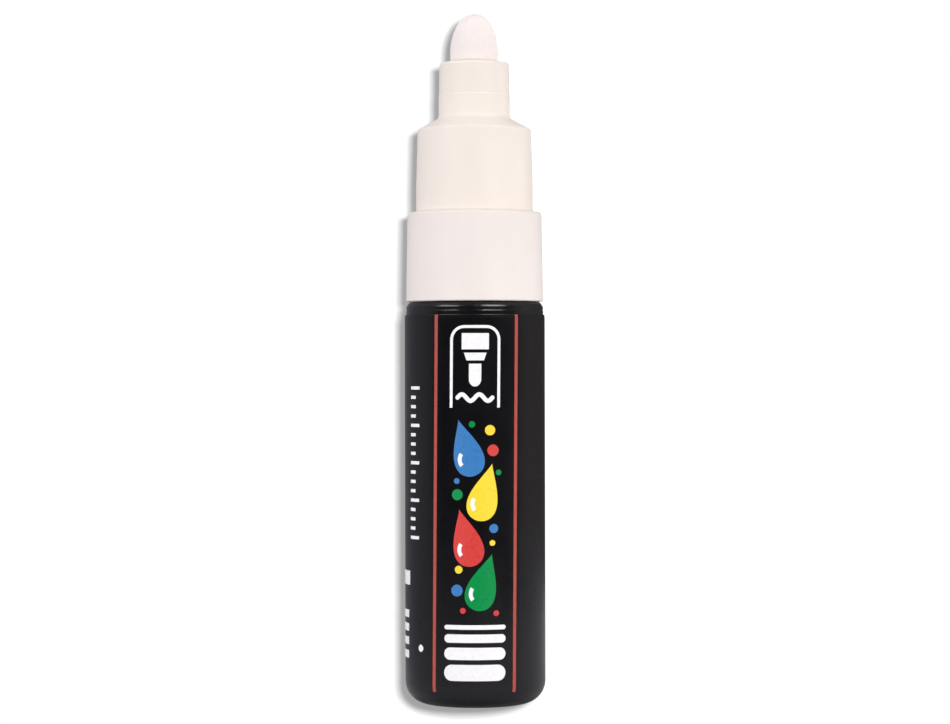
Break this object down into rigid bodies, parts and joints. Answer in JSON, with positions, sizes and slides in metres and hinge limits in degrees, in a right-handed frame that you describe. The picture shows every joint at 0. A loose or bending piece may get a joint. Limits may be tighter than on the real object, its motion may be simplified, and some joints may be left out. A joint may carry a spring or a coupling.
{
  "type": "paint marker",
  "caption": "Stout paint marker with a bullet nib, a stepped white front, a sleeved black barrel, a spring valve opened by pressing the nib, and a loose mixing ball.",
  "frame": {"origin": "centre of the flat base that the marker stands on", "axes": "+Z along the marker's axis towards the nib; X and Y across it, with the front of the label facing -Y"},
  "size_m": [0.022, 0.022, 0.1081],
  "materials": {
    "barrel_plastic": "glossy black moulded polypropylene",
    "label_film": "semi-gloss black shrink film with a printed design",
    "collar_plastic": "satin white moulded plastic",
    "holder_plastic": "satin warm white moulded plastic",
    "nib_fibre": "bonded polyester fibre, matt white",
    "valve_plastic": "natural moulded plastic",
    "seal_rubber": "soft black elastomer",
    "spring_steel": "drawn stainless wire",
    "ball_steel": "polished steel"
  },
  "bodies": {
    "marker_body": {"barrel": "barrel_plastic", "label_sleeve": "label_film", "collar": "collar_plastic", "holder": "holder_plastic", "valve_seat": "valve_plastic", "valve_seal": "seal_rubber", "valve_spring": "spring_steel", "valve_cage": "valve_plastic"},
    "nib": {"nib": "nib_fibre"},
    "valve_stem": {"valve_stem": "valve_plastic"},
    "mixing_ball": {"mixing_ball": "ball_steel"}
  },
  "joints": [
    {"name": "nib_press", "type": "slide", "parent": "marker_body", "child": "nib", "axis": [0, 0, -1], "range_m": [0, 0.002], "stiffness_N_per_m": 1200, "springref_m": -0.002},
    {"name": "valve_stem_slide", "type": "slide", "parent": "marker_body", "child": "valve_stem", "axis": [0, 0, -1], "range_m": [0, 0.002], "deforming": ["valve_spring"]},
    {"name": "mixing_ball_slide", "type": "slide", "parent": "marker_body", "child": "mixing_ball", "axis": [0, 0, 1], "range_m": [0, 0.035]}
  ],
  "couplings": [
    {"joint": "valve_stem_slide", "follows": "nib_press", "ratio": 1}
  ]
}
